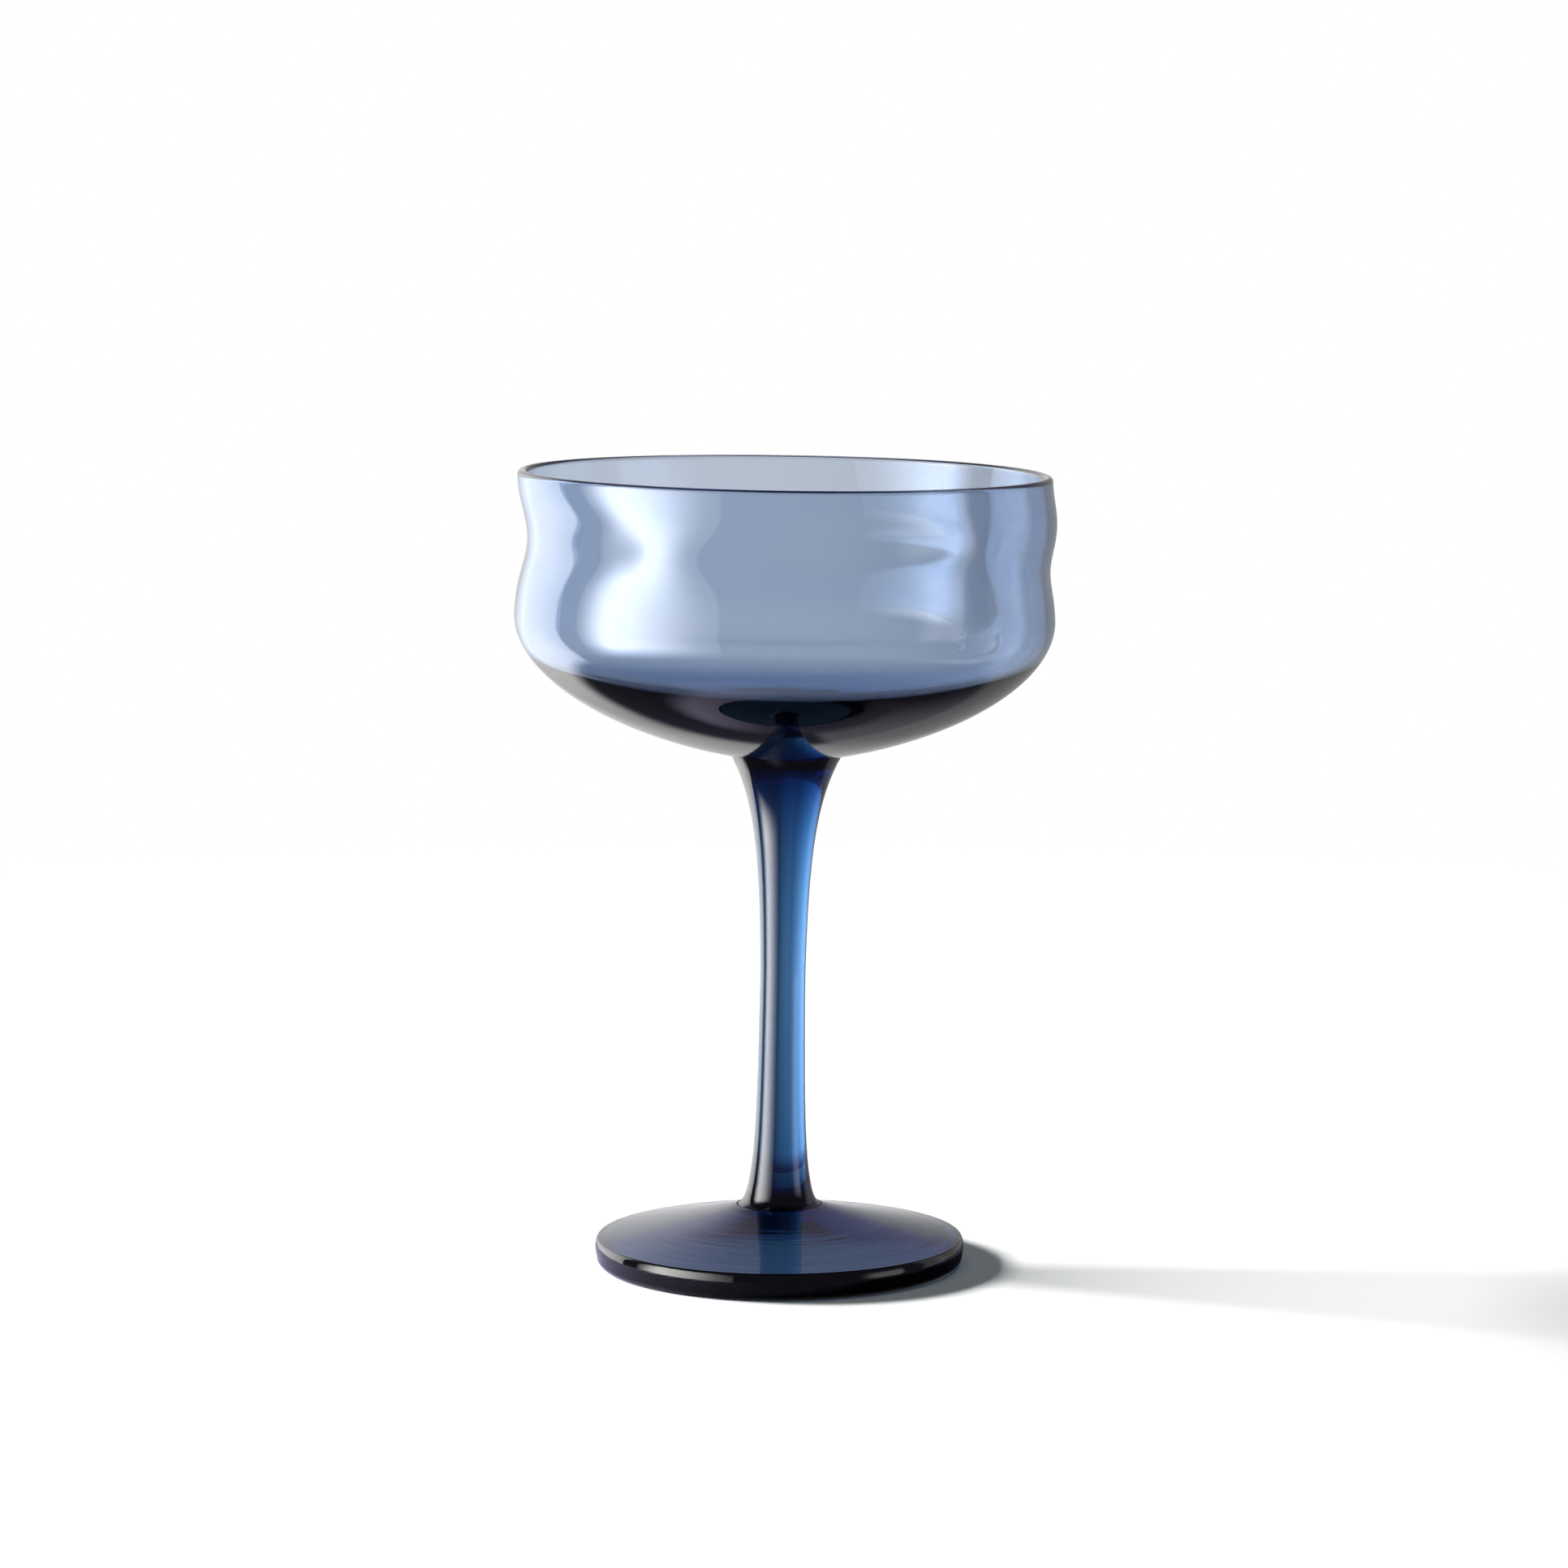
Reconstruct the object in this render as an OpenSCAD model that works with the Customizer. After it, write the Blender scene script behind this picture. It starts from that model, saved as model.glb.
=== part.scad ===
// Stemmed coupe of solid-coloured glass: a blown bowl with soft hand-pressed waves,
// a drawn stem that leans a little, and a low domed foot. The three gathers of glass
// are fused hot, so nothing moves.

/* [Overall] */
// Height from the table to the top of the rim
glass_h = 151.7; // [142:0.1:166]
// Lean of the stem and the bowl away from upright, in degrees
lean = 0.88; // [0:0.02:1.5]

/* [Bowl] */
// Radius of the bowl at its widest, low on the wall
belly_r = 51.2; // [46:0.2:56]
// Radius of the bowl at the rim
rim_r = 50.5; // [46:0.5:56]
// Height of the widest ring above the table
belly_z = 124.3; // [120:0.1:128]
// Depth of the outer curve below the widest ring
under_depth = 27.3; // [25:0.1:29]
// Thickness of the wall and of the rounded rim
wall_t = 1.8; // [1.4:0.1:2.6]
// Depth of the inside below the widest ring
inner_depth = 18.8; // [16:0.2:21]
// How much of each wave the inside follows, as a share of the outside
inner_follow = 0.92; // [0.5:0.01:1]

/* [Stem] */
// Radius of the stem's top where it carries the bowl
stem_top_r = 10.6; // [9:0.2:12]
// Radius of the stem at its slimmest
stem_r = 4.15; // [3.6:0.05:5]
// Reach of the trumpet flare under the bowl
top_reach = 11.5; // [9:0.5:13]
// Extra radius of the flare above the foot
heel_gain = 2.2; // [1:0.1:3]
// Reach of the flare above the foot
heel_reach = 6.5; // [4:0.5:9]

/* [Foot] */
// Radius of the foot
foot_r = 35.3; // [32:0.1:40]
// Height of the foot's upper edge above the table
edge_h = 5.3; // [4:0.1:6.5]
// Height of the dome where the stem stands on it
hub_z = 11.5; // [10:0.1:13]
// Radius of the stem's weld on the dome
hub_r = 8.2; // [7:0.1:9]
// Height of the foot's widest ring above the table
brim_z = 3.3; // [2.8:0.1:3.8]
// How far the wall leans in from the widest ring down to the heel
wall_in = 0.35; // [0.1:0.05:0.6]
// Height of the heel, where the foot's wall turns in to the table
heel_h = 1.2; // [1:0.1:2]
// How far the heel turns in
heel_in = 1.4; // [0.6:0.1:2.5]
// How far the wall turns in from the widest ring up to the foot's upper edge
edge_in = 0.7; // [0.3:0.1:1.2]
// Depth of the hollow under the foot
hollow_z = 5.5; // [3:0.1:6.5]
// Radius of the hollow under the foot
hollow_r = 32.5; // [28:0.5:33.5]

/* [Hidden] */

around = 96;
$fn = 96;

glass_blue = [0.45, 0.58, 0.75, 0.6];
stem_blue = [0.12, 0.3, 0.62, 0.8];
foot_blue = [0.2, 0.27, 0.45, 0.85];

// Outline powers: 2 would be a true ellipse, less is more conical, more is squarer
under_power_r = 1.6;
under_power_z = 1.95;
inner_power = 2.3;

// Waves pressed into the wall: azimuth, height, half width in degrees, half height, depth.
// A negative depth stands proud.
WAVES = [
    [180, 132.3, 75, 26, -0.7],
    [180, 138, 47, 5, 1.9],
    [219, 141.2, 25, 4.3, 1.5],
    [245, 139, 10, 3.6, -1.4],
    [0, 132.3, 60, 26, 0.8],
    [0, 133.8, 30, 3.6, 0.9],
    [0, 142.8, 30, 4, -0.5],
    [302, 141.3, 13, 3.4, 0.9],
    [305, 131.3, 15, 6.5, -0.7],
    [43, 125, 11, 6, 0.3],
    [56, 135, 22.5, 10, -1.7],
    [65, 136, 16, 2.5, 1.7],
    [82, 134, 10, 3, 1.6],
    [138, 130.3, 20, 6, -0.5],
    [0, 151, 45, 4, 0.5],
    [180, 151, 45, 4, -0.5]
];

// How quickly a wave fades sideways: 1.4 leaves 0.38 of it at its half width
side_fall = 1.4;

function total(v, i = 0) = i < len(v) ? v[i] + total(v, i + 1) : 0;
function turn_between(a, b) = (a - b + 540) % 360 - 180;
function bell(t) = exp(-t * t / 2);

// How far the wall is pressed in at an azimuth and a height
function press(az, z) = total([for (w = WAVES)
    w[4] * bell(turn_between(az, w[0]) / w[2] * side_fall) * bell((z - w[1]) / w[3])]);

// Lower outline of the outside: radius and height at an angle below the widest ring
function under_r(u) = belly_r * pow(cos(u), 2 / under_power_r);
function under_z(u) = belly_z - under_depth * pow(sin(u), 2 / under_power_z);
joint_u = acos(pow(stem_top_r / belly_r, under_power_r / 2));
joint_z = under_z(joint_u);

// Lower outline of the inside
function inside_r(u) = (belly_r - wall_t) * pow(cos(u), 2 / inner_power);
function inside_z(u) = belly_z - inner_depth * pow(sin(u), 2 / inner_power);

under_rings = 13;
wall_rings = 15;
lip_rings = 6;
lip_r = wall_t / 2;
wall_top = glass_h - lip_r;

// Each ring is its radius, its height and the share of the waves it follows
outer_low = [for (i = [0:under_rings]) let (u = joint_u * (1 - i / under_rings)) [under_r(u), under_z(u), 1]];
outer_wall = [for (i = [1:wall_rings]) let (t = i / wall_rings)
    [belly_r + (rim_r - belly_r) * t, belly_z + (wall_top - belly_z) * t, 1]];
lip = [for (i = [1:lip_rings - 1]) let (a = 180 * i / lip_rings)
    [rim_r - lip_r + lip_r * cos(a), wall_top + lip_r * sin(a), 1]];
inner_wall = [for (i = [0:wall_rings]) let (t = 1 - i / wall_rings)
    [belly_r - wall_t + (rim_r - belly_r) * t, belly_z + (wall_top - belly_z) * t,
     inner_follow + (1 - inner_follow) * t]];
inner_low = [for (i = [1:under_rings]) let (u = 90 * i / (under_rings + 0.4))
    [inside_r(u), inside_z(u), inner_follow]];
rings = concat(outer_low, outer_wall, lip, inner_wall, inner_low);

module leaning() {
    translate([0, 0, hub_z]) rotate([0, lean, 0]) translate([0, 0, -hub_z]) children();
}

module bowl() {
    wall_points = [for (ring = rings) for (j = [0:around - 1]) let (az = 360 * j / around,
        r = ring[0] - ring[2] * press(az, ring[1])) [r * cos(az), r * sin(az), ring[1]]];
    last = len(rings) - 1;
    floor_point = len(wall_points);
    sides = [for (i = [0:last - 1]) for (j = [0:around - 1]) let (k = (j + 1) % around)
        each [[i * around + j, (i + 1) * around + j, (i + 1) * around + k],
              [i * around + j, (i + 1) * around + k, i * around + k]]];
    seam = [for (j = [0:around - 1]) j];
    dish = [for (j = [0:around - 1]) [last * around + j, floor_point, last * around + (j + 1) % around]];
    color(glass_blue) leaning() polyhedron(
        points = concat(wall_points, [[0, 0, belly_z - inner_depth]]),
        faces = concat(sides, [seam], dish),
        convexity = 6
    );
}

// Height where the stem is slimmest; below it the radius grows by the slope for each unit of drop
taper_z = 56.3;
taper_slope = 0.016;
// Little fillet where the stem is welded to the foot: extra radius and its reach
weld_gain = 0.9;
weld_reach = 0.8;
// Extra radius of the flare under the bowl
top_gain = stem_top_r - stem_r;

// Radius of the stem at a height: slimmest part, flare under the bowl, taper and flare above the foot
function stem_at(z) = stem_r
    + top_gain * exp(-(joint_z - z) / top_reach)
    + taper_slope * max(0, taper_z - z)
    + heel_gain * exp(-(z - hub_z) / heel_reach)
    + weld_gain * exp(-max(0, z - hub_z) / weld_reach);

module stem() {
    sunk = 0.5;
    steps = 60;
    // Heights crowd towards both flares
    heights = [for (i = [0:steps]) hub_z - sunk + (joint_z - hub_z + sunk) * (1 - cos(180 * i / steps)) / 2];
    side = [for (z = heights) [stem_at(z), z]];
    color(stem_blue) difference() {
        leaning() rotate_extrude() polygon(concat([[0, hub_z - sunk]], side, [[0, joint_z]]));
        translate([-foot_r, -foot_r, hub_z - foot_r]) cube([2 * foot_r, 2 * foot_r, foot_r]);
    }
}

// Bulge of the heel beyond a straight chamfer
heel_bulge = 0.15;
// Slope of the hollow under the foot: 1 is a cone, 2 is a bowl
hollow_power = 1.25;
// Height of the foot's top: a low dome, a little steeper near the stem
dome_power = 0.88;
dome_edge_r = foot_r - edge_in;
function dome_z(r) = edge_h + (hub_z - edge_h) * (1 - pow(max(0, r - hub_r) / (dome_edge_r - hub_r), dome_power));

module foot() {
    hollow_steps = 16;
    heel_steps = 8;
    arc_steps = 12;
    dome_steps = 24;
    hollow = [for (i = [0:hollow_steps]) let (r = hollow_r * i / hollow_steps)
        [r, hollow_z * (1 - pow(r / hollow_r, hollow_power))]];
    heel = [for (i = [0:heel_steps]) let (t = i / heel_steps, bulge = heel_bulge * sin(180 * t))
        [foot_r - heel_in + (heel_in - wall_in) * t + bulge, heel_h * t]];
    high_edge = [for (i = [0:arc_steps]) let (a = 90 * i / arc_steps)
        [dome_edge_r + edge_in * cos(a), brim_z + (edge_h - brim_z) * sin(a)]];
    dome = [for (i = [1:dome_steps]) let (r = dome_edge_r - (dome_edge_r - hub_r) * i / dome_steps)
        [r, dome_z(r)]];
    color(foot_blue) rotate_extrude() polygon(concat(hollow, heel, high_edge, dome, [[0, hub_z]]));
}

bowl();
stem();
foot();
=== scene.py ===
"""Wavy blue coupe glass: a blown bowl, a drawn stem and a low domed foot, fused hot."""
import math

import bpy
import numpy as np
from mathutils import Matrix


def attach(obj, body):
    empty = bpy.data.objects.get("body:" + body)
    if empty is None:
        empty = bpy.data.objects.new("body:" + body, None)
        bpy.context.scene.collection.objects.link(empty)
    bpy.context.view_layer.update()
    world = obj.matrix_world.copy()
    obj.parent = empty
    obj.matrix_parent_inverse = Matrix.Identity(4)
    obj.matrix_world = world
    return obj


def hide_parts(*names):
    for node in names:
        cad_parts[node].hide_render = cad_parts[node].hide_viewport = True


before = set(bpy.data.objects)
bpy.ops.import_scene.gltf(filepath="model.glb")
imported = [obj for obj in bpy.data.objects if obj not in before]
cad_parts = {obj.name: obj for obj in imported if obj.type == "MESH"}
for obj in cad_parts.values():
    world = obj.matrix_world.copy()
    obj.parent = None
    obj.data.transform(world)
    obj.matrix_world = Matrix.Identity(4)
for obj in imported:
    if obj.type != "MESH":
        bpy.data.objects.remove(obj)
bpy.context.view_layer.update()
scene = bpy.context.scene

MM = 0.001

# ---------------------------------------------------------------- the glass's shape, as in the CAD model
GLASS_H = 151.7 * MM
LEAN = math.radians(0.88)
BELLY_R, RIM_R, BELLY_Z = 51.2 * MM, 50.5 * MM, 124.3 * MM
UNDER_DEPTH, INNER_DEPTH, WALL_T = 27.3 * MM, 18.8 * MM, 1.8 * MM
INNER_FOLLOW = 0.92
UNDER_POWER_R, UNDER_POWER_Z, INNER_POWER = 1.6, 1.95, 2.3
STEM_TOP_R, STEM_R, TOP_REACH = 10.6 * MM, 4.15 * MM, 11.5 * MM
HEEL_GAIN, HEEL_REACH = 2.2 * MM, 6.5 * MM
TAPER_Z, TAPER_SLOPE = 56.3 * MM, 0.016
WELD_GAIN, WELD_REACH = 0.9 * MM, 0.8 * MM
FOOT_R, EDGE_H, HUB_Z, HUB_R = 35.3 * MM, 5.3 * MM, 11.5 * MM, 8.2 * MM
HOLLOW_Z, HOLLOW_R, HOLLOW_POWER = 5.5 * MM, 32.5 * MM, 1.25
EDGE_IN, DOME_POWER = 0.7 * MM, 0.88
BRIM_Z, WALL_IN = 3.3 * MM, 0.35 * MM
HEEL_H, HEEL_IN, HEEL_BULGE = 1.2 * MM, 1.4 * MM, 0.15 * MM

# Waves pressed into the wall: azimuth, height, half width in degrees, half height, depth in mm
WAVES = [
    (180, 132.3, 75, 26, -0.7),
    (180, 138, 47, 5, 1.9),
    (219, 141.2, 25, 4.3, 1.5),
    (245, 139, 10, 3.6, -1.4),
    (0, 132.3, 60, 26, 0.8),
    (0, 133.8, 30, 3.6, 0.9),
    (0, 142.8, 30, 4, -0.5),
    (302, 141.3, 13, 3.4, 0.9),
    (305, 131.3, 15, 6.5, -0.7),
    (43, 125, 11, 6, 0.3),
    (56, 135, 22.5, 10, -1.7),
    (65, 136, 16, 2.5, 1.7),
    (82, 134, 10, 3, 1.6),
    (138, 130.3, 20, 6, -0.5),
    (0, 151, 45, 4, 0.5),
    (180, 151, 45, 4, -0.5),
]
# How quickly a wave fades sideways
SIDE_FALL = 1.4
# Height over which the lean sets in, so that the stem's end stays flat on the foot
LEAN_SETTLE = 3 * MM

# Points round each ring, and rings in each stretch of the outlines
AROUND = 288
LOW_RINGS, WALL_RINGS, LIP_RINGS = 48, 56, 14
STEM_RINGS = 150
HOLLOW_RINGS, HEEL_RINGS, BRIM_RINGS, EDGE_RINGS, DOME_RINGS = 30, 12, 8, 32, 60
# The bowl's last inside ring stops this share of a step short of the axis
AXIS_SHARE = 0.1
SHARP_ANGLE = math.radians(35)
# Half the hair's-breadth between two fused pieces, so that light crosses their seam in order
SEAM_GAP = 0.004 * MM


def press(azimuth, height):
    """How far the wall is pressed in at azimuths in degrees and a height in metres."""
    depth = np.zeros_like(azimuth)
    for centre, level, half_width, half_height, size in WAVES:
        turn = (azimuth - centre + 540) % 360 - 180
        depth += size * MM * np.exp(-(turn / half_width * SIDE_FALL) ** 2 / 2) * math.exp(
            -((height / MM - level) / half_height) ** 2 / 2
        )
    return depth


def under(u):
    """Radius and height of the bowl's outside at an angle below its widest ring."""
    return (
        BELLY_R * math.cos(u) ** (2 / UNDER_POWER_R),
        BELLY_Z - UNDER_DEPTH * math.sin(u) ** (2 / UNDER_POWER_Z),
    )


def inside(u):
    """Radius and height of the bowl's inside at an angle below its widest ring."""
    return (
        (BELLY_R - WALL_T) * max(math.cos(u), 0) ** (2 / INNER_POWER),
        BELLY_Z - INNER_DEPTH * math.sin(u) ** (2 / INNER_POWER),
    )


JOINT_U = math.acos((STEM_TOP_R / BELLY_R) ** (UNDER_POWER_R / 2))
JOINT_Z = under(JOINT_U)[1]


def bowl_rings():
    """Rings of the bowl from its seam up the outside, over the rim and down the inside.

    Each is its radius, its height and the share of the waves that it follows.
    """
    lip_r = WALL_T / 2
    top = GLASS_H - lip_r
    rings = []
    for i in range(LOW_RINGS + 1):
        r, z = under(JOINT_U * (1 - i / LOW_RINGS))
        rings.append((r, z + (SEAM_GAP if i == 0 else 0), 1))
    for i in range(1, WALL_RINGS + 1):
        t = i / WALL_RINGS
        rings.append((BELLY_R + (RIM_R - BELLY_R) * t, BELLY_Z + (top - BELLY_Z) * t, 1))
    for i in range(1, LIP_RINGS):
        a = math.pi * i / LIP_RINGS
        rings.append((RIM_R - lip_r + lip_r * math.cos(a), top + lip_r * math.sin(a), 1))
    for i in range(WALL_RINGS + 1):
        t = 1 - i / WALL_RINGS
        rings.append((
            BELLY_R - WALL_T + (RIM_R - BELLY_R) * t,
            BELLY_Z + (top - BELLY_Z) * t,
            INNER_FOLLOW + (1 - INNER_FOLLOW) * t,
        ))
    for i in range(1, LOW_RINGS + 1):
        r, z = inside(math.pi / 2 * i / (LOW_RINGS + AXIS_SHARE))
        rings.append((r, z, INNER_FOLLOW))
    return rings


def stem_radius(z):
    """Radius of the stem: slimmest part, flare under the bowl, taper, flare above the foot and weld."""
    rise = z - HUB_Z
    return (
        STEM_R
        + (STEM_TOP_R - STEM_R) * math.exp(-(JOINT_Z - z) / TOP_REACH)
        + TAPER_SLOPE * max(0, TAPER_Z - z)
        + HEEL_GAIN * math.exp(-rise / HEEL_REACH)
        + WELD_GAIN * math.exp(-rise / WELD_REACH)
    )


def stem_rings():
    """Rings of the stem from the foot to the bowl, closer together towards both flares."""
    low, high = HUB_Z + SEAM_GAP, JOINT_Z - SEAM_GAP
    turns = [math.pi * i / STEM_RINGS for i in range(STEM_RINGS + 1)]
    heights = [low + (high - low) * (1 - math.cos(turn)) / 2 for turn in turns]
    return [(stem_radius(z), z, 0) for z in heights]


def dome_height(r):
    span = FOOT_R - EDGE_IN - HUB_R
    return EDGE_H + (HUB_Z - EDGE_H) * (1 - (max(r - HUB_R, 0) / span) ** DOME_POWER)


def foot_rings():
    """Rings of the foot from under its centre, round the heel and the edge and up the dome to the weld."""
    rings = []
    for i in range(1, HOLLOW_RINGS + 1):
        r = HOLLOW_R * i / HOLLOW_RINGS
        rings.append((r, HOLLOW_Z * (1 - (r / HOLLOW_R) ** HOLLOW_POWER), 0))
    for i in range(HEEL_RINGS + 1):
        t = i / HEEL_RINGS
        bulge = HEEL_BULGE * math.sin(math.pi * t)
        rings.append((FOOT_R - HEEL_IN + (HEEL_IN - WALL_IN) * t + bulge, HEEL_H * t, 0))
    for i in range(1, BRIM_RINGS):
        t = i / BRIM_RINGS
        rings.append((FOOT_R - WALL_IN * (1 - t), HEEL_H + (BRIM_Z - HEEL_H) * t, 0))
    for i in range(EDGE_RINGS + 1):
        a = math.pi / 2 * i / EDGE_RINGS
        rings.append((FOOT_R - EDGE_IN * (1 - math.cos(a)), BRIM_Z + (EDGE_H - BRIM_Z) * math.sin(a), 0))
    for i in range(1, DOME_RINGS + 1):
        r = FOOT_R - EDGE_IN - (FOOT_R - EDGE_IN - HUB_R) * i / DOME_RINGS
        rings.append((r, dome_height(r) - (SEAM_GAP if i == DOME_RINGS else 0), 0))
    return rings


def revolve(name, rings, first_seam, last_seam, leans):
    """A closed mesh through rings, with a flat or pointed end at each; a seam end is marked for the glass."""
    azimuth = np.arange(AROUND) * 360 / AROUND
    angle = np.radians(azimuth)
    points = []
    for r, z, share in rings:
        radius = r - share * press(azimuth, z)
        ring = (radius * np.cos(angle), radius * np.sin(angle), np.full(AROUND, z))
        points.append(np.stack(ring, axis=1))
    points = np.concatenate(points + [np.array([[0, 0, rings[0][1]], [0, 0, rings[-1][1]]])])
    if leans:
        points = lean_over(points)
    first, last = len(points) - 2, len(points) - 1
    faces, seam = [], []
    for i in range(len(rings) - 1):
        a, b = i * AROUND, (i + 1) * AROUND
        faces += [(a + j, a + (j + 1) % AROUND, b + (j + 1) % AROUND, b + j) for j in range(AROUND)]
    seam += [0.0] * len(faces)
    top = (len(rings) - 1) * AROUND
    faces += [(first, (j + 1) % AROUND, j) for j in range(AROUND)]
    seam += [float(first_seam)] * AROUND
    faces += [(last, top + j, top + (j + 1) % AROUND) for j in range(AROUND)]
    seam += [float(last_seam)] * AROUND
    mesh = bpy.data.meshes.new(name)
    mesh.from_pydata(points.tolist(), [], faces)
    mesh.attributes.new("seam", "FLOAT", "FACE").data.foreach_set("value", seam)
    mesh.polygons.foreach_set("use_smooth", [True] * len(mesh.polygons))
    mesh.set_sharp_from_angle(angle=SHARP_ANGLE)
    mesh.update()
    piece = bpy.data.objects.new(name, mesh)
    scene.collection.objects.link(piece)
    return piece


def lean_over(points):
    """The stem and the bowl lean from the foot's weld; the lean sets in over the first few millimetres."""
    rise = points[:, 2] - HUB_Z
    settle = np.clip(rise / LEAN_SETTLE, 0, 1)
    settle = settle * settle * (3 - 2 * settle)
    tilt = LEAN * settle
    x = points[:, 0] * np.cos(tilt) + rise * np.sin(LEAN)
    z = HUB_Z + rise * np.cos(LEAN) - points[:, 0] * np.sin(tilt)
    return np.stack([x, points[:, 1], z], axis=1)


# ---------------------------------------------------------------- glass
class Graph:
    """Short forms for building a node tree; a number or a socket goes in, a socket comes out."""

    def __init__(self, tree):
        self.nodes, self.links = tree.nodes, tree.links

    def put(self, value, socket):
        if isinstance(value, (int, float)):
            socket.default_value = value
        else:
            self.links.new(value, socket)

    def math(self, operation, *values):
        node = self.nodes.new("ShaderNodeMath")
        node.operation = operation
        for value, socket in zip(values, node.inputs):
            self.put(value, socket)
        return node.outputs[0]

    def times(self, first, second):
        return self.math("MULTIPLY", first, second)

    def less(self, first, second):
        return self.math("SUBTRACT", first, second)

    def total(self, terms):
        result = terms[0]
        for term in terms[1:]:
            result = self.math("ADD", result, term)
        return result

    def step(self, value, low, high, to_low=0.0, to_high=1.0):
        """A smooth step from to_low at low to to_high at high."""
        node = self.nodes.new("ShaderNodeMapRange")
        node.interpolation_type = "SMOOTHSTEP"
        for name, amount in (("From Min", low), ("From Max", high), ("To Min", to_low), ("To Max", to_high)):
            node.inputs[name].default_value = amount
        self.put(value, node.inputs["Value"])
        return node.outputs["Result"]

    def window(self, value, low, low_soft, high, high_soft):
        """One between low and high, and nought outside them, with soft flanks inside the window."""
        rise = self.step(value, low, low + low_soft)
        fall = self.step(value, high - high_soft, high, 1.0, 0.0)
        return self.times(rise, fall)

    def split(self, vector):
        """The x, y and z of a vector."""
        node = self.nodes.new("ShaderNodeSeparateXYZ")
        self.links.new(vector, node.inputs[0])
        return node.outputs[0], node.outputs[1], node.outputs[2]

    def from_axis(self, x, y):
        """Distance from the upright axis."""
        return self.math("SQRT", self.total([self.times(x, x), self.times(y, y)]))

    def mix(self, share, first, second):
        """The first shader where the share is nought, and the second where it is one."""
        node = self.nodes.new("ShaderNodeMixShader")
        for value, socket in zip((share, first, second), node.inputs):
            self.links.new(value, socket)
        return node.outputs[0]

    def add(self, first, second):
        """Two shaders together."""
        node = self.nodes.new("ShaderNodeAddShader")
        for value, socket in zip((first, second), node.inputs):
            self.links.new(value, socket)
        return node.outputs[0]


GLASS_INDEX, SEAM_INDEX = 1.52, 1.0
RIPPLE_DETAIL = 2
# Patches of the surface that are a trace less polished: their scale, the noise at which they start and are
# full, and their roughness
HAZE_SCALE, HAZE_FROM, HAZE_TO, HAZE_MOST = 90, 0.45, 0.75, 0.012


def glass(name, tint, density, grain, swell):
    """Solid-coloured glass. A face marked as a seam bends no light, because the glass goes on beyond it.

    grain scales the fire-polished surface's ripple along x and y, z, and distance from the axis; swell is
    its height.
    """
    material = bpy.data.materials.new(name)
    material.use_nodes = True
    g = Graph(material.node_tree)
    shader = g.nodes["Principled BSDF"]
    shader.inputs["Base Color"].default_value = (1, 1, 1, 1)
    shader.inputs["Transmission Weight"].default_value = 1
    seam = g.nodes.new("ShaderNodeAttribute")
    seam.attribute_name = "seam"
    seam_share = seam.outputs["Fac"]
    index = g.nodes.new("ShaderNodeMapRange")
    index.inputs["To Min"].default_value = GLASS_INDEX
    index.inputs["To Max"].default_value = SEAM_INDEX
    g.links.new(seam_share, index.inputs["Value"])
    g.links.new(index.outputs["Result"], shader.inputs["IOR"])

    grain_across, grain_up, grain_out = grain
    x, y, z = g.split(g.nodes.new("ShaderNodeTexCoord").outputs["Object"])
    place = g.nodes.new("ShaderNodeCombineXYZ")
    g.put(g.times(x, grain_across), place.inputs[0])
    g.put(g.times(y, grain_across), place.inputs[1])
    g.put(g.total([g.times(z, grain_up), g.times(g.from_axis(x, y), grain_out)]), place.inputs[2])
    ripple = g.nodes.new("ShaderNodeTexNoise")
    ripple.inputs["Scale"].default_value = 1
    ripple.inputs["Detail"].default_value = RIPPLE_DETAIL
    g.links.new(place.outputs[0], ripple.inputs["Vector"])
    bump = g.nodes.new("ShaderNodeBump")
    bump.inputs["Strength"].default_value = 1
    bump.inputs["Distance"].default_value = swell
    # The seam has no surface of its own, so nothing ripples there
    g.put(g.times(ripple.outputs["Fac"], g.less(1.0, seam_share)), bump.inputs["Height"])
    g.links.new(bump.outputs[0], shader.inputs["Normal"])
    haze = g.nodes.new("ShaderNodeTexNoise")
    haze.inputs["Scale"].default_value = HAZE_SCALE
    hazy = g.step(haze.outputs["Fac"], HAZE_FROM, HAZE_TO)
    g.put(g.times(hazy, HAZE_MOST), shader.inputs["Roughness"])

    volume = g.nodes.new("ShaderNodeVolumeAbsorption")
    volume.inputs["Color"].default_value = (*tint, 1)
    volume.inputs["Density"].default_value = density
    g.links.new(volume.outputs[0], g.nodes["Material Output"].inputs["Volume"])
    return material


BOWL_TINT = (0.325, 0.5, 0.73)
STEM_TINT = (0.105, 0.425, 0.655)
GLASS_DENSITY = 400
FOOT_DENSITY = 1.1 * GLASS_DENSITY
bowl_glass = glass("bowl_glass", BOWL_TINT, GLASS_DENSITY, (45, 60, 0), 0.03 * MM)
stem_glass = glass("stem_glass", STEM_TINT, GLASS_DENSITY, (160, 8, 0), 0.02 * MM)
foot_glass = glass("foot_glass", STEM_TINT, FOOT_DENSITY, (25, 0, 420), 0.05 * MM)

# Name, CAD node, slot, material, rings, whether its first and last ends are seams, whether it leans
PIECES = [
    ("coupe_bowl", "bowl", "bowl_glass", bowl_glass, bowl_rings(), True, False, True),
    ("coupe_stem", "stem", "stem_glass", stem_glass, stem_rings(), True, True, True),
    ("coupe_foot", "foot", "foot_glass", foot_glass, foot_rings(), False, True, False),
]
for name, node, slot, material, rings, first_seam, last_seam, leans in PIECES:
    piece = revolve(name, rings, first_seam, last_seam, leans)
    piece.data.materials.append(material)
    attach(piece, "root")
    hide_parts(node)

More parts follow.
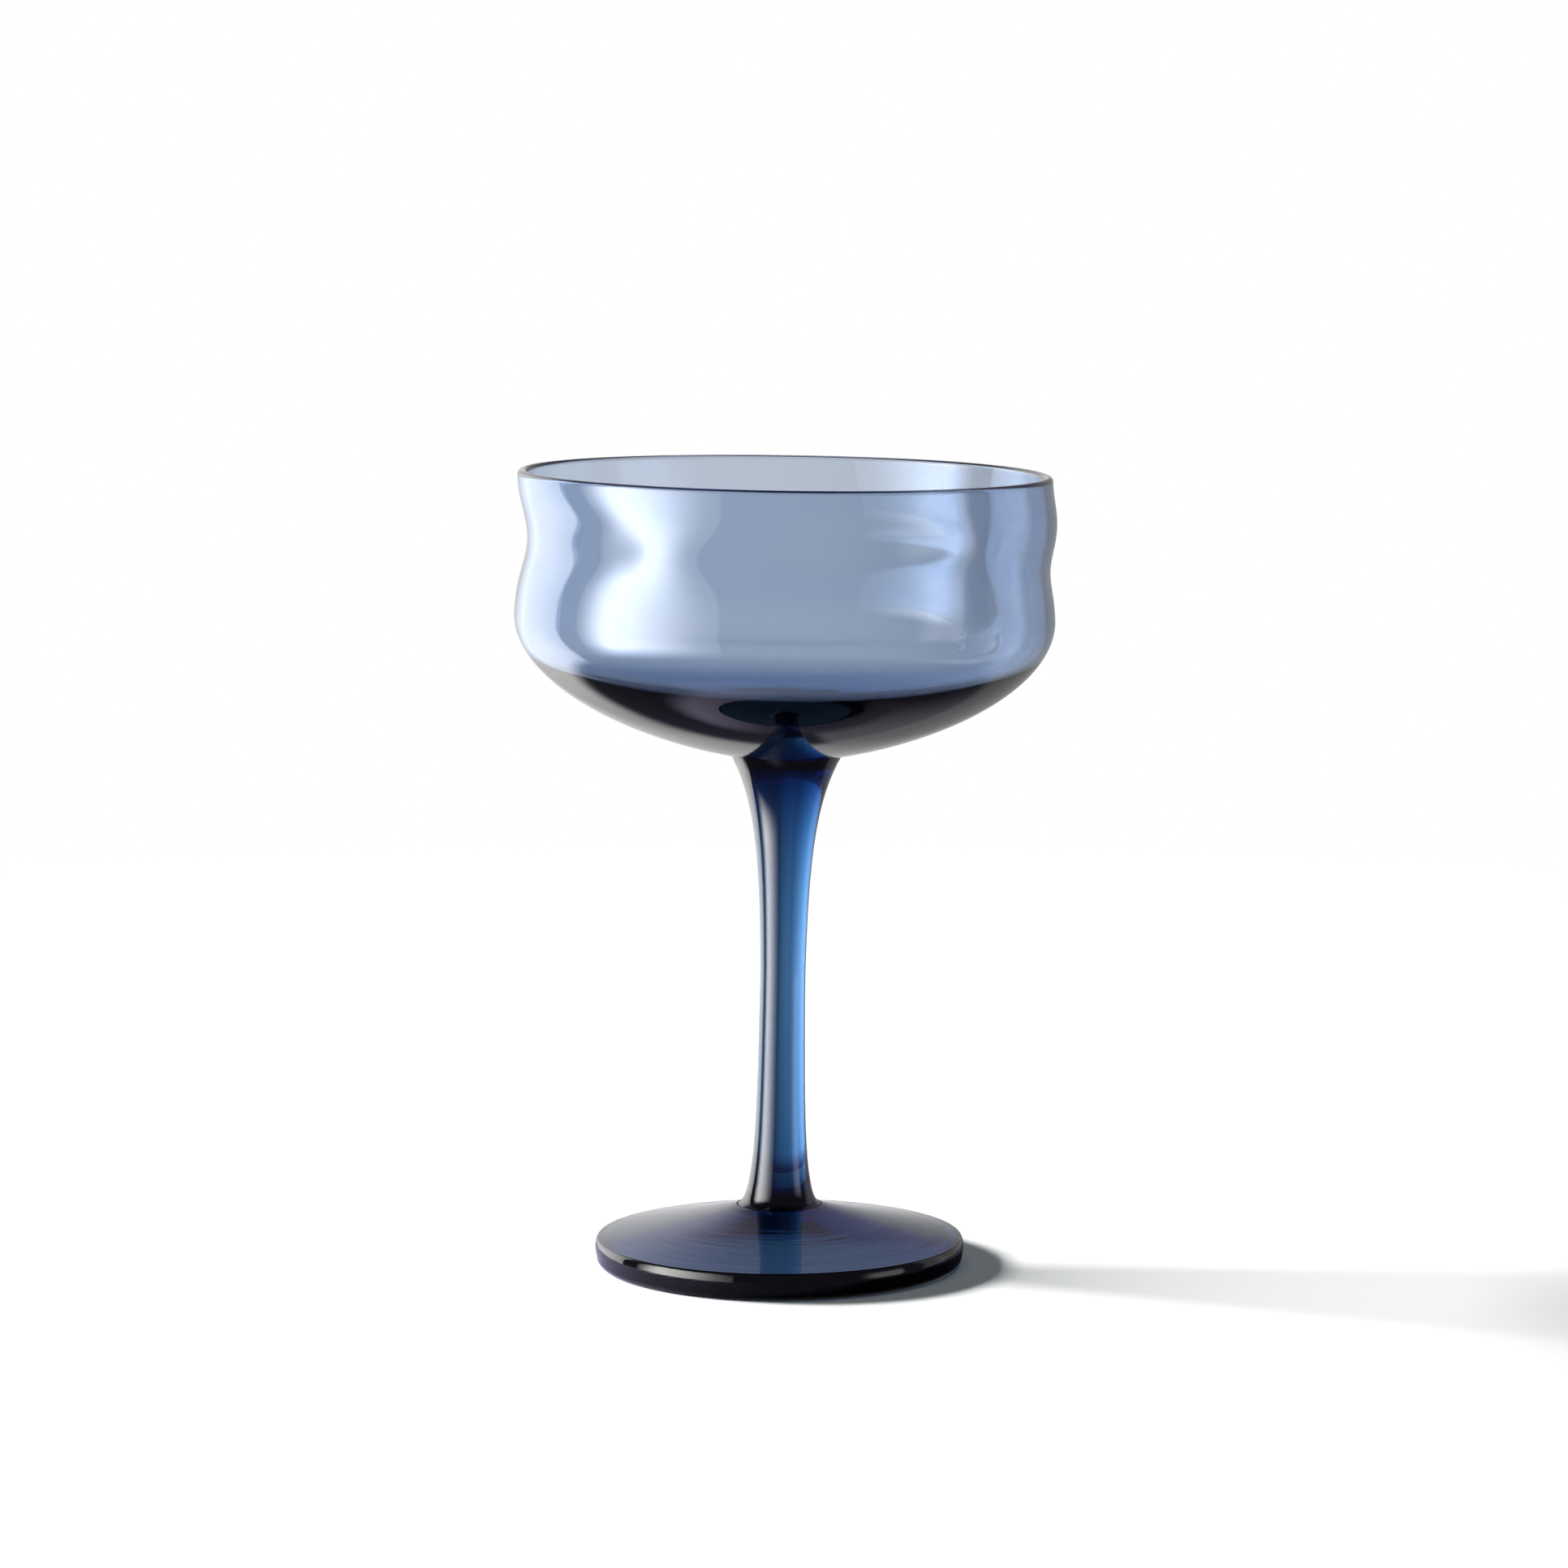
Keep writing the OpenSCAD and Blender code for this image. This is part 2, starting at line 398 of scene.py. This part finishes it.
# ---------------------------------------------------------------- the studio that the glass sees
# Soft panels round the glass, in degrees. Azimuth is from straight behind the glass and grows to the right.
# Each: azimuth from, its flank, azimuth to, its flank, height from, its flank, height to, its flank, and
# brightness
PANELS = [
    (-152, 51, -81, 20, -34, 14, 40, 18, 10),
    (-152, 1, -81, 1, -34, 14, 30, 20, 0.9),
    (-68, 2, 3, 60, -38, 8, 40, 20, 2.9),
    (-14, 8, 9, 9, -38, 4, 40, 20, 0.3),
    (-14, 8, 9, 9, -13, 4, 40, 20, 0.1),
    (3, 2, 45, 35, -80, 20, -34, 4, 0.26),
    (50, 12, 82, 6, -34, 14, 40, 15, 0.4),
    (95, 5, 130, 14, -13, 5, 20, 15, 1.4),
]
# Plain surroundings: the dark room, the backdrop behind the glass and above it, overhead and below
ROOM = 0.13
BACKDROP = 0.38
UPPER = 0.36
TOP = 0.06
BELOW = 0.09
# Where those give way to each other, in degrees: the backdrop's sides and its upper part, overhead and below
BACKDROP_SIDES = (55, 68)
UPPER_FROM = (15, 30)
TOP_FROM = (45, 65)
BELOW_TO = (-40, -34)
# Faint violet cast of the surroundings, but for the backdrop up to this height and the panels
ROOM_CAST = (0.8, 0.76, 1.12, 1)
NEUTRAL_TO = (12, 20)
# Limits for what is seen straight through the glass, so that it is neither dazzling nor murky from another
# side: the brightest that it may be through few surfaces, as in the solid stem and foot, and through more, as
# in the bowl's walls, and the darkest that it may be on the open sides: the camera's side and below
SOLID_MOST, WALLS_MOST = 3.3, 1.5
SOLID_SURFACES, WALLS_SURFACES = 2, 3
THROUGH_LEAST = 0.7
OPEN_SIDES = (60, 75)
OPEN_BELOW = (-60, -50)
# Added to the brightest for what is mirrored, which puts that limit out of reach
MIRRORED_EXTRA = 100.0


def surroundings(g, azimuth, height):
    """The plain surroundings' brightness, and the share of it that has no cast."""
    behind = g.step(g.math("ABSOLUTE", azimuth), *BACKDROP_SIDES, 1.0, 0.0)
    extra = g.step(height, *UPPER_FROM, BACKDROP - ROOM, UPPER - ROOM)
    sides = g.total([g.times(behind, extra), ROOM])
    above, below = g.step(height, *TOP_FROM), g.step(height, *BELOW_TO, 1.0, 0.0)
    between = g.less(g.less(1.0, above), below)
    room = g.total([g.times(sides, between), g.times(above, TOP), g.times(below, BELOW)])
    neutral = g.times(g.times(behind, g.step(height, *NEUTRAL_TO, 1.0, 0.0)), between)
    return room, neutral


def background(g, colour, strength=1.0):
    node = g.nodes.new("ShaderNodeBackground")
    node.inputs["Color"].default_value = colour
    g.put(strength, node.inputs["Strength"])
    return node.outputs[0]


def studio_world():
    """White for the camera; for the glass, soft panels in plain surroundings."""
    world = bpy.data.worlds.new("studio")
    scene.world = world
    world.use_nodes = True
    g = Graph(world.node_tree)
    g.nodes.remove(g.nodes["Background"])
    x, y, z = g.split(g.nodes.new("ShaderNodeTexCoord").outputs["Generated"])
    azimuth = g.math("DEGREES", g.math("ARCTAN2", x, y))
    height = g.math("DEGREES", g.math("ARCSINE", z))
    room, neutral = surroundings(g, azimuth, height)
    terms = [g.times(room, neutral)]
    for a0, a0_soft, a1, a1_soft, h0, h0_soft, h1, h1_soft, brightness in PANELS:
        across = g.window(azimuth, a0, a0_soft, a1, a1_soft)
        up = g.window(height, h0, h0_soft, h1, h1_soft)
        terms.append(g.times(g.times(across, up), brightness))

    path = g.nodes.new("ShaderNodeLightPath")
    mirrored = g.step(path.outputs["Glossy Depth"], 0, 1)
    surfaces = path.outputs["Transmission Depth"]
    through_most = g.step(surfaces, SOLID_SURFACES, WALLS_SURFACES, SOLID_MOST, WALLS_MOST)
    most = g.total([g.times(mirrored, MIRRORED_EXTRA), through_most])
    open_sides = g.step(g.math("ABSOLUTE", azimuth), *OPEN_SIDES)
    open_below = g.step(height, *OPEN_BELOW, 1.0, 0.0)
    least = g.times(g.times(g.math("MAXIMUM", open_sides, open_below), THROUGH_LEAST), g.less(1.0, mirrored))
    lit = g.math("MAXIMUM", g.math("MINIMUM", g.total(terms), most), least)

    white = (1, 1, 1, 1)
    cast = background(g, ROOM_CAST, g.times(room, g.less(1.0, neutral)))
    studio = g.add(background(g, white, lit), cast)
    seen = g.mix(path.outputs["Is Camera Ray"], studio, background(g, white))
    g.links.new(seen, g.nodes["World Output"].inputs["Surface"])
    world.cycles_visibility.diffuse = False


studio_world()

# ---------------------------------------------------------------- floor
FLOOR_R, FLOOR_POINTS = 0.9, 128
# The floor lies this far below the foot, so that the two faces don't fight
FLOOR_DROP = 0.02 * MM
FLOOR_WHITE = (0.9, 0.9, 0.9, 1)
# Where the floor that the camera sees fades into the white background, as distances from the glass
FAR_FROM, FAR_TO = 0.3, 0.6
# The floor as the glass sees it: painted light and shade, bright on the panels' side and dark on the other,
# with a painted mauve cast, and open beyond the foot
NEAR_PAINTED_LIGHT, NEAR_PAINTED_SHADE = 0.6, 0.1
BRIGHT_TO, DARK_FROM = -0.05, 0.0
NEAR_CAST = (1.0, 0.88, 1.3)
NEAR_FROM, NEAR_TO = 0.05, 0.075
# Light that the foot lets through on to the floor under it, painted there as a glow, and how far in from the
# foot's edge it is full
UNDER_FOOT, UNDER_FOOT_SOFT = 0.32, 3 * MM


def floor_material():
    material = bpy.data.materials.new("floor")
    material.use_nodes = True
    g = Graph(material.node_tree)
    g.nodes.remove(g.nodes["Principled BSDF"])
    x, y, _ = g.split(g.nodes.new("ShaderNodeNewGeometry").outputs["Position"])
    radius = g.from_axis(x, y)

    plain = g.nodes.new("ShaderNodeBsdfDiffuse")
    plain.inputs["Color"].default_value = FLOOR_WHITE
    far = g.nodes.new("ShaderNodeEmission")
    seen = g.mix(g.step(radius, FAR_FROM, FAR_TO), plain.outputs[0], far.outputs[0])

    # Painted light and shade: the floor that the glass sees is lighter on the panels' side and darker on the
    # other, and tinted mauve
    painted_light_and_shade = g.step(x, BRIGHT_TO, DARK_FROM, NEAR_PAINTED_LIGHT, NEAR_PAINTED_SHADE)
    painted_mauve_light = g.nodes.new("ShaderNodeCombineColor")
    for socket, share in zip(painted_mauve_light.inputs, NEAR_CAST):
        g.put(g.times(painted_light_and_shade, share), socket)
    near = g.nodes.new("ShaderNodeBsdfDiffuse")
    g.links.new(painted_mauve_light.outputs[0], near.inputs["Color"])
    # Painted light: the floor under the foot glows, standing in for light let through the foot
    painted_under_foot_glow = g.nodes.new("ShaderNodeEmission")
    g.put(g.step(radius, FOOT_R - UNDER_FOOT_SOFT, FOOT_R, UNDER_FOOT, 0.0), painted_under_foot_glow.inputs["Strength"])
    under_foot = g.add(near.outputs[0], painted_under_foot_glow.outputs[0])
    clear = g.nodes.new("ShaderNodeBsdfTransparent").outputs[0]
    glass_sees = g.mix(g.step(radius, NEAR_FROM, NEAR_TO), under_foot, clear)

    camera_ray = g.nodes.new("ShaderNodeLightPath").outputs["Is Camera Ray"]
    surface = g.mix(camera_ray, glass_sees, seen)
    g.links.new(surface, g.nodes["Material Output"].inputs["Surface"])
    return material


def floor_disc():
    mesh = bpy.data.meshes.new("floor")
    turns = [2 * math.pi * i / FLOOR_POINTS for i in range(FLOOR_POINTS)]
    ring = [(FLOOR_R * math.cos(turn), FLOOR_R * math.sin(turn), -FLOOR_DROP) for turn in turns]
    mesh.from_pydata(ring, [], [tuple(range(FLOOR_POINTS))])
    mesh.materials.append(floor_material())
    floor = bpy.data.objects.new("floor", mesh)
    scene.collection.objects.link(floor)


floor_disc()


# ---------------------------------------------------------------- lamps and camera
def lamp(name, azimuth, height, distance, size, power, colour):
    """A rectangular light that faces the glass and shows in no reflection; it throws the soft shadow.

    Azimuth is from the camera's side of the glass and grows to the left.
    """
    light = bpy.data.lights.new(name, "AREA")
    light.shape = "RECTANGLE"
    light.size, light.size_y = size
    light.energy = power
    light.color = colour
    piece = bpy.data.objects.new(name, light)
    a, e = math.radians(azimuth), math.radians(height)
    out, up = math.cos(e) * distance, math.sin(e) * distance
    piece.location = (-math.sin(a) * out, -math.cos(a) * out, up)
    piece.rotation_euler = (math.pi / 2 - e, 0, -a)
    piece.visible_camera = False
    piece.visible_glossy = False
    piece.visible_transmission = False
    scene.collection.objects.link(piece)


lamp("key", azimuth=104.5, height=28, distance=8, size=(2.8, 1.7), power=1500, colour=(1, 1, 1))
lamp("overhead", azimuth=0, height=90, distance=6, size=(7, 7), power=100, colour=(0.92, 1, 0.95))

# The lens and the sensor are in millimetres, as Blender has them
SENSOR, LENS = 36, 123.727
CAMERA_AT = (0.9 * MM, -1014.5 * MM, 219.9 * MM)
# How far the camera looks down, in degrees
CAMERA_DOWN = 7.16

camera_data = bpy.data.cameras.new("camera")
camera_data.sensor_width = SENSOR
camera_data.lens = LENS
camera = bpy.data.objects.new("camera", camera_data)
camera.location = CAMERA_AT
camera.rotation_euler = (math.radians(90 - CAMERA_DOWN), 0, 0)
scene.collection.objects.link(camera)
scene.camera = camera

scene.view_settings.view_transform = "Standard"
# Enough for light that crosses every wall of the glass and is mirrored between them
scene.cycles.max_bounces = 24
scene.cycles.transmission_bounces = 20
scene.cycles.glossy_bounces = 8
scene.cycles.diffuse_bounces = 3
